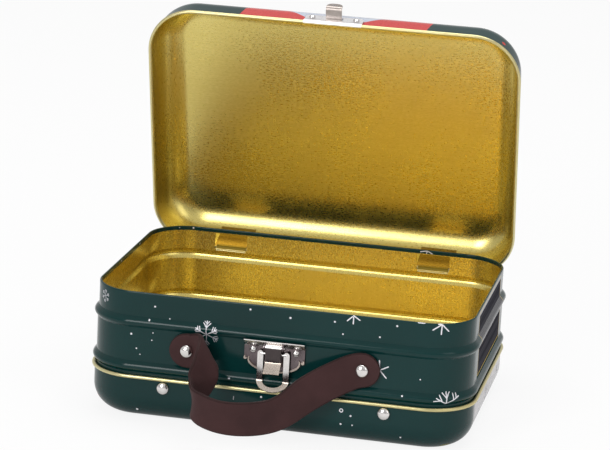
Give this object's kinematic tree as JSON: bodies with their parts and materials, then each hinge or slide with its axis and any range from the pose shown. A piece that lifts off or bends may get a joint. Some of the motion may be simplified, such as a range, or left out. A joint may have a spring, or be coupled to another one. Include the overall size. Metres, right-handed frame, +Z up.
{
  "type": "suitcase-shaped gift tin",
  "caption": "Small suitcase-shaped tin box with a rolled-rim lid on strip hinges, a toggle latch with a wire-style bail, and a riveted leather handle.",
  "frame": {"origin": "centre of the flat underside of the bottom tray, on the table", "axes": "+X along the long side to the right seen from the front, -Y the latch side, +Z up"},
  "size_m": [0.2044, 0.1983, 0.2044],
  "materials": {
    "printed_tin": "dark green gloss print with small white snowflakes and dots outside, gold lacquer with a fine brushed grain inside and on the rolled rims",
    "nickel": "bright nickel plate, lightly marked",
    "leather": "smooth dark brown, faint grain, cut edges"
  },
  "bodies": {
    "body": {"body_band": "printed_tin", "bottom_tray": "printed_tin", "handle_strap": "leather", "handle_rivet_left": "nickel", "handle_rivet_right": "nickel", "tray_rivet_front_left": "nickel", "tray_rivet_front_right": "nickel", "tray_rivet_back_left": "nickel", "tray_rivet_back_right": "nickel", "latch_plate": "nickel", "latch_pin": "nickel", "latch_rivet_left": "nickel", "latch_rivet_right": "nickel"},
    "lid": {"lid_shell": "printed_tin", "keeper_plate": "nickel", "keeper_rivet_left": "nickel", "keeper_rivet_right": "nickel"},
    "lever": {"latch_lever": "nickel"},
    "bail": {"latch_bail": "nickel"}
  },
  "joints": [
    {"name": "lid_hinge", "type": "hinge", "parent": "body", "child": "lid", "pos_m": [0, 0.0717, 0.0574], "axis": [-1, 0, 0], "range_deg": [-76, 34]},
    {"name": "lever_hinge", "type": "hinge", "parent": "body", "child": "lever", "pos_m": [0, -0.0737, 0.0483], "axis": [-1, 0, 0], "range_deg": [0, 110]},
    {"name": "bail_hinge", "type": "hinge", "parent": "lever", "child": "bail", "pos_m": [0, -0.0736, 0.0449], "axis": [-1, 0, 0], "range_deg": [0, 70]}
  ]
}
